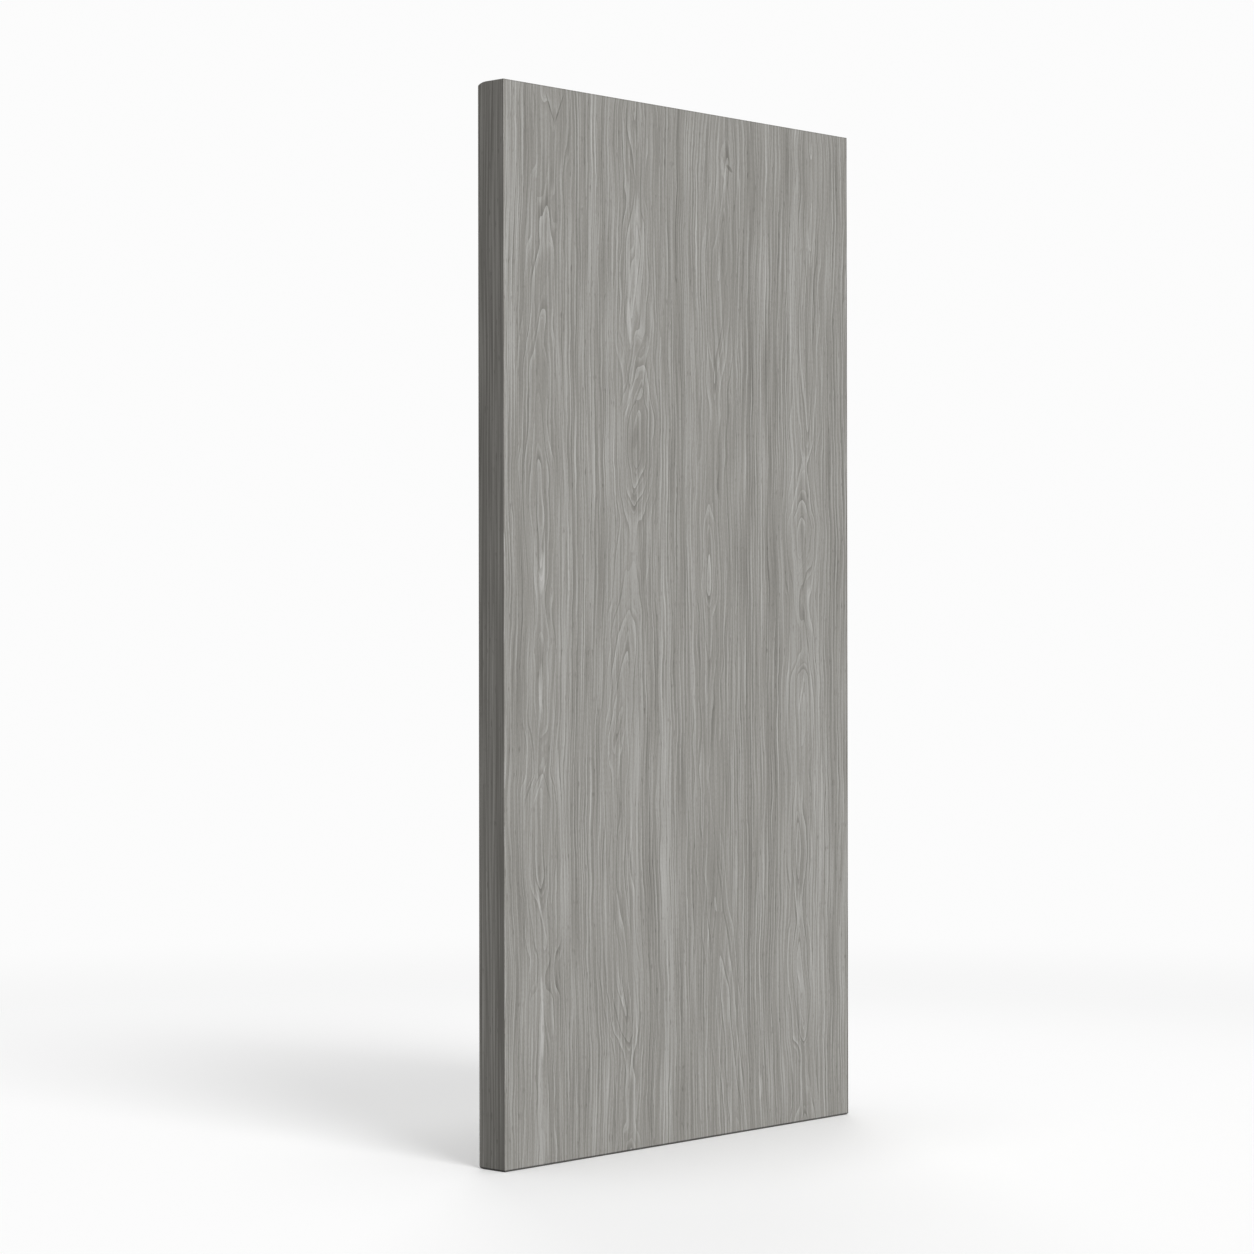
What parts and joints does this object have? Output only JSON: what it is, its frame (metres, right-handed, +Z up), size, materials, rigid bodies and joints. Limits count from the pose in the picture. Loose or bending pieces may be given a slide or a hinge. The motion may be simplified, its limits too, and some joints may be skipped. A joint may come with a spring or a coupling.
{
  "type": "flush door leaf",
  "caption": "Plain flush door leaf, grey wood-grain laminate on both faces over a framed solid core, lipped on every edge, with a rounded back perimeter and no hardware cut-outs.",
  "frame": {"origin": "middle of the leaf's bottom edge, on the floor", "axes": "+X across the width, from the left edge to the right edge as seen from the front; +Y through the thickness, from the front face to the back face; +Z up"},
  "size_m": [0.985, 0.072, 1.985],
  "materials": {
    "grey_laminate": "satin grey wood-grain laminate",
    "grey_lipping": "grey stained and sealed hardwood",
    "fibreboard": "raw high-density fibreboard",
    "softwood": "planed softwood",
    "particleboard": "raw particleboard"
  },
  "bodies": {
    "root": {"front_laminate": "grey_laminate", "back_laminate": "grey_laminate", "left_lipping": "grey_lipping", "right_lipping": "grey_lipping", "top_lipping": "grey_lipping", "bottom_lipping": "grey_lipping", "front_crossband": "fibreboard", "back_crossband": "fibreboard", "left_stile": "softwood", "right_stile": "softwood", "top_rail": "softwood", "bottom_rail": "softwood", "core": "particleboard"}
  },
  "joints": []
}
